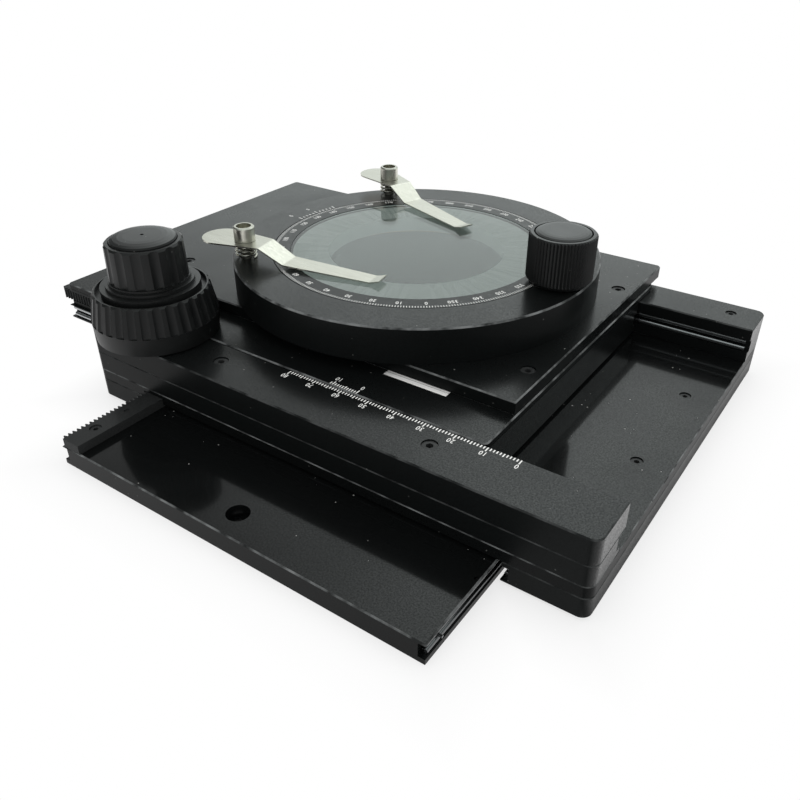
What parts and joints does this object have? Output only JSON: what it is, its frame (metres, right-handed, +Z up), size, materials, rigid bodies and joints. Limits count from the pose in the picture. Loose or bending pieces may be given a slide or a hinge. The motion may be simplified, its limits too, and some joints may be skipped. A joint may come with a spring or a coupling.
{
  "type": "mechanical microscope stage",
  "caption": "Microscope stage: crossed slides on ball guides with rack drives and coaxial knobs, a graduated turntable with its own knob, and sprung specimen clips.",
  "frame": {"origin": "axis of the base plate's round light opening, at the plate's underside", "axes": "+X along the left-right travel, away from the coaxial knobs; +Y along the front-back travel, to the rear; +Z up, along the microscope's optical axis"},
  "size_m": [0.2291, 0.1901, 0.0611],
  "materials": {
    "black_anodised": "satin black anodised",
    "black_gloss": "glossy black enamel",
    "black_plastic": "satin black",
    "steel": "ground steel",
    "nickel": "satin nickel plate",
    "brass": "turned",
    "glass": "clear, polished",
    "screw_black": "blackened",
    "white_plastic": "plain white"
  },
  "bodies": {
    "base": {"base_plate": "black_anodised", "y_rack": "screw_black", "y_rack_screws": "screw_black", "base_rods": "steel", "base_stop_screws": "steel"},
    "y_cages": {"y_cages": "brass", "y_balls": "steel"},
    "y_carriage": {"side_rail_left": "black_anodised", "side_rail_right": "black_anodised", "side_rail_rods": "steel", "floor_plate": "black_anodised", "front_rail": "black_anodised", "scale_bar": "black_anodised", "rear_rail": "black_anodised", "rail_rods": "steel", "scale_bar_screws": "screw_black", "rear_rail_screws": "screw_black", "floor_screws": "screw_black", "upper_shaft_bush": "brass", "lower_shaft_bush": "brass"},
    "x_cages": {"x_cages": "brass", "x_balls": "steel"},
    "x_carriage": {"slide_body": "black_anodised", "slide_rods": "steel", "vernier_plate": "black_anodised", "bright_strip": "white_plastic", "top_plate": "black_gloss", "top_plate_screws": "screw_black", "x_rack": "screw_black", "x_rack_screws": "screw_black", "ring_housing": "black_anodised", "slip_ring": "brass", "turn_bush": "brass", "clip_post_left": "nickel", "clip_post_rear": "nickel"},
    "x_knob": {"x_knob": "black_plastic", "tube_shaft": "steel", "x_pinion": "brass"},
    "y_knob": {"y_knob": "black_plastic", "y_knob_cap": "black_plastic", "inner_shaft": "steel", "y_pinion": "brass"},
    "dial": {"dial": "black_gloss", "dial_gear": "brass", "glass_plate": "glass"},
    "turn_knob": {"turn_knob": "black_plastic", "turn_knob_cap": "black_plastic", "turn_shaft": "steel", "turn_pinion": "brass"},
    "clip_swivel_left": {"clip_spring_left": "steel"},
    "clip_left": {"clip_leaf_left": "nickel"},
    "clip_swivel_rear": {"clip_spring_rear": "steel"},
    "clip_rear": {"clip_leaf_rear": "nickel"}
  },
  "joints": [
    {"name": "y_slide", "type": "slide", "parent": "base", "child": "y_carriage", "axis": [0, 1, 0], "range_m": [-0.042, 0.008]},
    {"name": "y_cage_slide", "type": "slide", "parent": "base", "child": "y_cages", "axis": [0, 1, 0], "range_m": [-0.021, 0.004]},
    {"name": "x_slide", "type": "slide", "parent": "y_carriage", "child": "x_carriage", "axis": [1, 0, 0], "range_m": [-0.012, 0.054]},
    {"name": "x_cage_slide", "type": "slide", "parent": "y_carriage", "child": "x_cages", "axis": [1, 0, 0], "range_m": [-0.006, 0.027]},
    {"name": "x_knob_turn", "type": "hinge", "parent": "y_carriage", "child": "x_knob", "pos_m": [-0.07145, -0.06115, 0], "axis": [0, 0, 1], "range_deg": [-520, 120]},
    {"name": "y_knob_turn", "type": "hinge", "parent": "y_carriage", "child": "y_knob", "pos_m": [-0.07145, -0.06115, 0], "axis": [0, 0, 1], "range_deg": [-105, 540]},
    {"name": "dial_turn", "type": "hinge", "parent": "x_carriage", "child": "dial", "pos_m": [-0.0191, 0.017, 0], "axis": [0, 0, 1], "continuous": true},
    {"name": "turn_knob_turn", "type": "hinge", "parent": "x_carriage", "child": "turn_knob", "pos_m": [0.0374, 0.017, 0], "axis": [0, 0, 1], "continuous": true},
    {"name": "clip_left_swing", "type": "hinge", "parent": "x_carriage", "child": "clip_swivel_left", "pos_m": [-0.06223, -0.02613, 0.0494], "axis": [0, 0, 1], "range_deg": [-40, 30]},
    {"name": "clip_left_lift", "type": "hinge", "parent": "clip_swivel_left", "child": "clip_left", "pos_m": [-0.05859, -0.02549, 0.0494], "axis": [0.1736, -0.9848, 0], "range_deg": [0, 6], "stiffness_Nm_per_rad": 0.3, "springref_deg": -11.46, "deforming": ["clip_spring_left"]},
    {"name": "clip_rear_swing", "type": "hinge", "parent": "x_carriage", "child": "clip_swivel_rear", "pos_m": [-0.06223, 0.06013, 0.0494], "axis": [0, 0, 1], "range_deg": [-18, 70]},
    {"name": "clip_rear_lift", "type": "hinge", "parent": "clip_swivel_rear", "child": "clip_rear", "pos_m": [-0.05878, 0.05881, 0.0494], "axis": [-0.3584, -0.9336, 0], "range_deg": [0, 6], "stiffness_Nm_per_rad": 0.3, "springref_deg": -11.46, "deforming": ["clip_spring_rear"]}
  ],
  "couplings": [
    {"joint": "y_cage_slide", "follows": "y_slide", "ratio": 0.5},
    {"joint": "x_cage_slide", "follows": "x_slide", "ratio": 0.5},
    {"joint": "x_knob_turn", "follows": "x_slide", "rad_per_m": -166.67},
    {"joint": "y_knob_turn", "follows": "y_slide", "rad_per_m": -222.22},
    {"joint": "turn_knob_turn", "follows": "dial_turn", "ratio": -9.2727}
  ]
}
